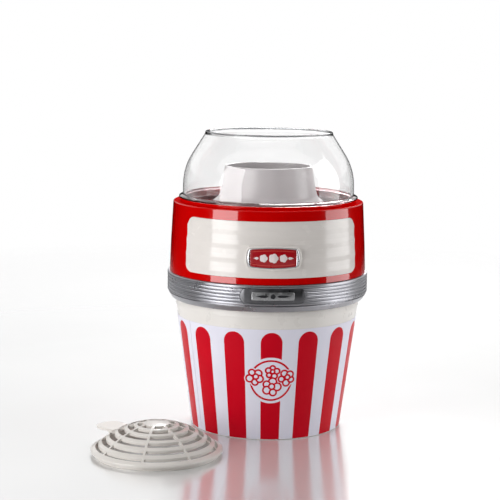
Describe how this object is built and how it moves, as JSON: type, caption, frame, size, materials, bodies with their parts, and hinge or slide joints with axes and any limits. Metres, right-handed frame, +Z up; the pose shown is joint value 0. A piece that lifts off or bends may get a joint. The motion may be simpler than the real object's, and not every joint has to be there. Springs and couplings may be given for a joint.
{
  "type": "popcorn maker",
  "caption": "Hot-air popcorn maker with a clear dome, standing on a striped bucket that catches the popcorn, with a vented grille lid that closes the dome.",
  "frame": {"origin": "centre of the bucket's flat underside, on the surface the machine stands on", "axes": "+Z up along the machine's axis, -Y out of the front with the badge, +X to the right seen from the front"},
  "size_m": [0.2714, 0.2913, 0.296],
  "materials": {
    "bucket_ivory": "satin moulded plastic",
    "label_print": "glossy printed film, red stripes on white",
    "ring_silver": "satin metallised plastic",
    "nameplate_grey": "satin dark grey plastic",
    "shell_red": "high gloss",
    "panel_ivory": "high gloss",
    "badge_chrome": "polished",
    "badge_red": "high gloss",
    "base_dark": "moulded",
    "chute_red": "gloss",
    "core_plastic": "heat-resistant moulded plastic",
    "chimney_ivory": "satin moulded plastic",
    "chamber_aluminium": "spun and anodised",
    "mica": "mica board",
    "resistance_wire": "drawn wire",
    "thermal_switch": "plated",
    "steel": "zinc plated",
    "fan_plastic": "moulded",
    "circuit_board": "glass-fibre board",
    "switch_black": "satin",
    "rocker_red": "gloss",
    "terminal_brass": "plain",
    "gland_rubber": "soft",
    "terminal_white": "moulded",
    "wire_insulation": "silicone",
    "screw_steel": "zinc plated",
    "dome_clear": "clear polycarbonate",
    "lid_ivory": "satin moulded plastic"
  },
  "bodies": {
    "bucket": {"bucket": "bucket_ivory", "stripe_label": "label_print"},
    "popper": {"trim_ring": "ring_silver", "nameplate": "nameplate_grey", "outer_shell": "shell_red", "front_panel": "panel_ivory", "badge_frame": "badge_chrome", "badge_plate": "badge_red", "base_ring": "base_dark", "chute_liner": "chute_red", "core_housing": "core_plastic", "core_cover": "core_plastic", "chimney": "chimney_ivory", "popping_chamber": "chamber_aluminium", "heat_shield": "mica", "heater_boards": "mica", "heating_coil": "resistance_wire", "thermostat": "thermal_switch", "thermal_fuse": "thermal_switch", "motor_bracket": "steel", "motor": "steel", "diode_board": "circuit_board", "switch_body": "switch_black", "switch_terminals": "terminal_brass", "cord_gland": "gland_rubber", "terminal_block": "terminal_white", "inner_wires": "wire_insulation", "body_screws": "screw_steel", "arm_screws": "screw_steel", "cover_screws": "screw_steel", "bracket_screws": "screw_steel", "motor_screws": "screw_steel"},
    "dome": {"dome": "dome_clear"},
    "lid": {"lid_grille": "lid_ivory"},
    "rotor": {"motor_shaft": "steel", "fan_wheel": "fan_plastic"},
    "rocker": {"switch_rocker": "rocker_red"}
  },
  "joints": [
    {"name": "popper_lift", "type": "slide", "parent": "bucket", "child": "popper", "axis": [0, 0, 1], "range_m": [0, 0.12]},
    {"name": "dome_lift", "type": "slide", "parent": "popper", "child": "dome", "axis": [0, 0, 1], "range_m": [0, 0.08]},
    {"name": "lid_lift", "type": "slide", "parent": "bucket", "child": "lid", "axis": [0, 0, 1], "range_m": [0, 0.3]},
    {"name": "fan_spin", "type": "hinge", "parent": "popper", "child": "rotor", "pos_m": [0, 0, 0.14], "axis": [0, 0, 1], "continuous": true},
    {"name": "switch_rock", "type": "hinge", "parent": "popper", "child": "rocker", "pos_m": [0, 0.1034, 0.199], "axis": [1, 0, 0], "range_deg": [0, 24]}
  ]
}
